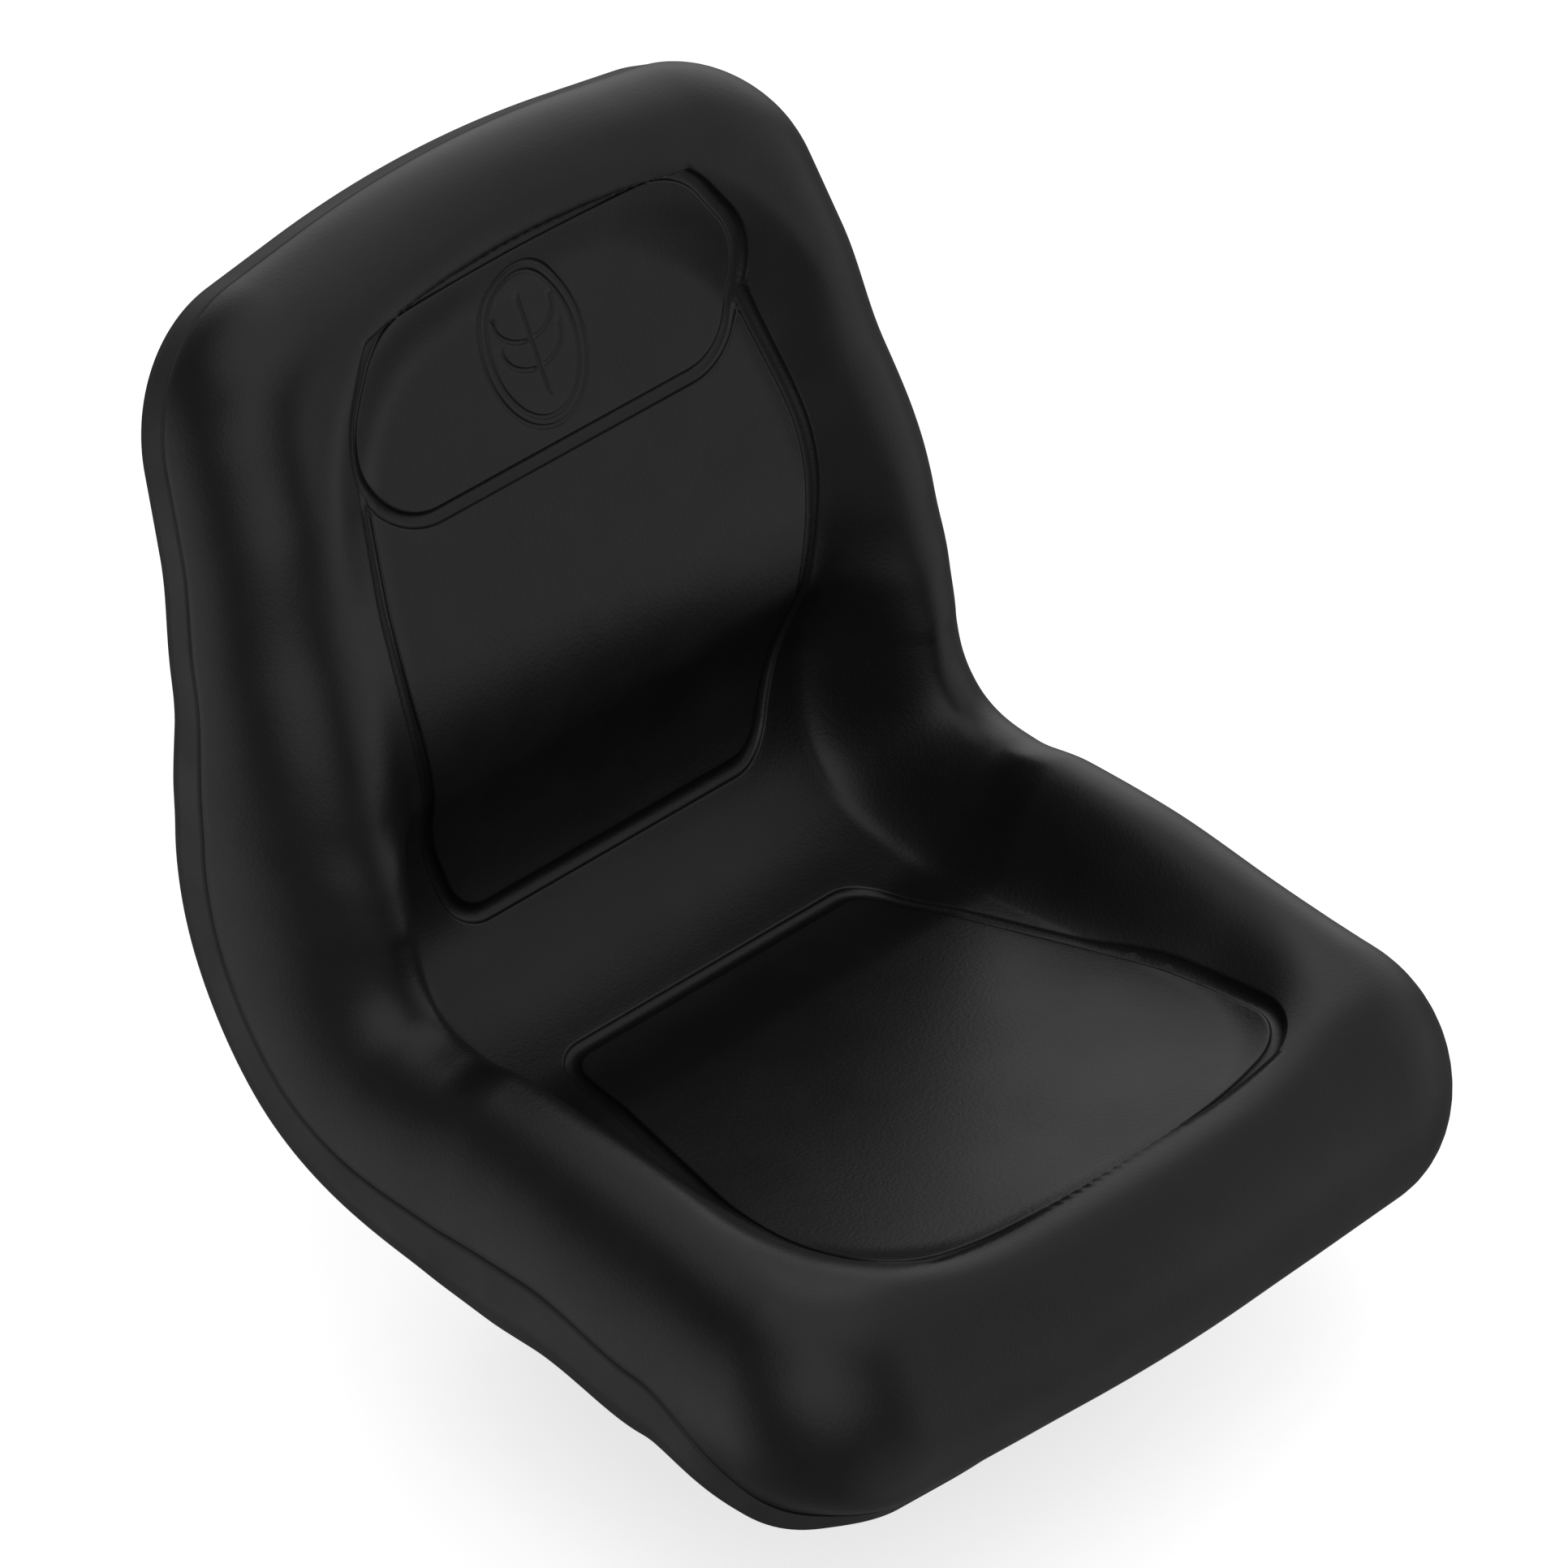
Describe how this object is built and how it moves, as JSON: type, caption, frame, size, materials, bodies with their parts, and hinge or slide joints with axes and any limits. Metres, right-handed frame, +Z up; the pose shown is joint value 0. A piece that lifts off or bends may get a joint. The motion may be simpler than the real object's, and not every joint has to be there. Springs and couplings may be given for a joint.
{
  "type": "riding mower seat",
  "caption": "High-back moulded bucket seat for a ride-on mower, with side bolsters, grooved panels, slide rails, tilt hinge and comfort springs.",
  "frame": {"origin": "middle of the seat's footprint, on the underside of the base plate", "axes": "+Z up; the sitter faces -Y; +X is the sitter's left"},
  "size_m": [0.4878, 0.5542, 0.5794],
  "materials": {
    "vinyl": "satin",
    "foam": "matte",
    "pan_plastic": "matte",
    "black_steel": "satin",
    "zinc_steel": "satin",
    "spring_steel": "satin",
    "nylon": "satin",
    "rubber": "matte",
    "grip_vinyl": "satin",
    "switch_plastic": "satin",
    "brass": "satin"
  },
  "bodies": {
    "base": {"base_plate": "black_steel", "pivot_bracket_left": "black_steel", "pivot_bracket_right": "black_steel", "hinge_pin": "zinc_steel", "hinge_clip_left": "zinc_steel", "hinge_clip_right": "zinc_steel", "spring_cup_left": "nylon", "spring_cup_right": "nylon", "comfort_spring_left": "spring_steel", "comfort_spring_right": "spring_steel", "stop_bumper_left": "rubber", "stop_bumper_right": "rubber"},
    "suspension": {"suspension_arm_left": "black_steel", "suspension_arm_right": "black_steel", "arm_bush_left": "nylon", "arm_bush_right": "nylon", "suspension_crossbar": "black_steel", "spring_cap_left": "nylon", "spring_cap_right": "nylon", "rest_pad_left": "rubber", "rest_pad_right": "rubber"},
    "tilt_frame": {"tilt_plate": "black_steel", "tilt_ear_left": "black_steel", "tilt_ear_right": "black_steel", "tilt_bush_left": "nylon", "tilt_bush_right": "nylon", "lower_rail_left": "zinc_steel", "lower_rail_right": "zinc_steel"},
    "seat": {"seat_cover": "vinyl", "foam_cushion": "foam", "seat_pan": "pan_plastic", "drain_grommet": "rubber", "switch_housing": "switch_plastic", "switch_terminal_left": "brass", "switch_terminal_right": "brass", "switch_spring": "spring_steel", "upper_rail_left": "zinc_steel", "upper_rail_right": "zinc_steel", "glide_left_front": "nylon", "glide_left_rear": "nylon", "glide_right_front": "nylon", "glide_right_rear": "nylon", "rail_bolt_left_front": "zinc_steel", "rail_bolt_left_rear": "zinc_steel", "rail_bolt_right_front": "zinc_steel", "rail_bolt_right_rear": "zinc_steel", "pan_insert_left_front": "brass", "pan_insert_left_rear": "brass", "pan_insert_right_front": "brass", "pan_insert_right_rear": "brass", "lever_bracket": "zinc_steel", "lever_pivot": "zinc_steel", "lever_spring": "spring_steel"},
    "lever": {"adjuster_lever": "black_steel", "lever_grip": "grip_vinyl", "latch_pawl": "zinc_steel"},
    "plunger": {"switch_plunger": "nylon"}
  },
  "joints": [
    {"name": "suspension_hinge", "type": "hinge", "parent": "base", "child": "suspension", "pos_m": [0, -0.135, 0.03], "axis": [1, 0, 0], "range_deg": [-3, 0], "stiffness_Nm_per_rad": 2300, "springref_deg": 0.46, "deforming": ["comfort_spring_left", "comfort_spring_right"]},
    {"name": "tilt_hinge", "type": "hinge", "parent": "suspension", "child": "tilt_frame", "pos_m": [0, -0.135, 0.03], "axis": [1, 0, 0], "range_deg": [0, 35]},
    {"name": "seat_slide", "type": "slide", "parent": "tilt_frame", "child": "seat", "axis": [0, 1, 0], "range_m": [-0.04, 0.04]},
    {"name": "lever_pivot_hinge", "type": "hinge", "parent": "seat", "child": "lever", "pos_m": [0.122, 0.035, 0.074], "axis": [0, 0, 1], "range_deg": [0, 12], "stiffness_Nm_per_rad": 2, "springref_deg": -6.88},
    {"name": "switch_plunger_slide", "type": "slide", "parent": "seat", "child": "plunger", "axis": [0, 0, -1], "range_m": [0, 0.004], "stiffness_N_per_m": 800, "springref_m": -0.001, "deforming": ["switch_spring"]}
  ]
}
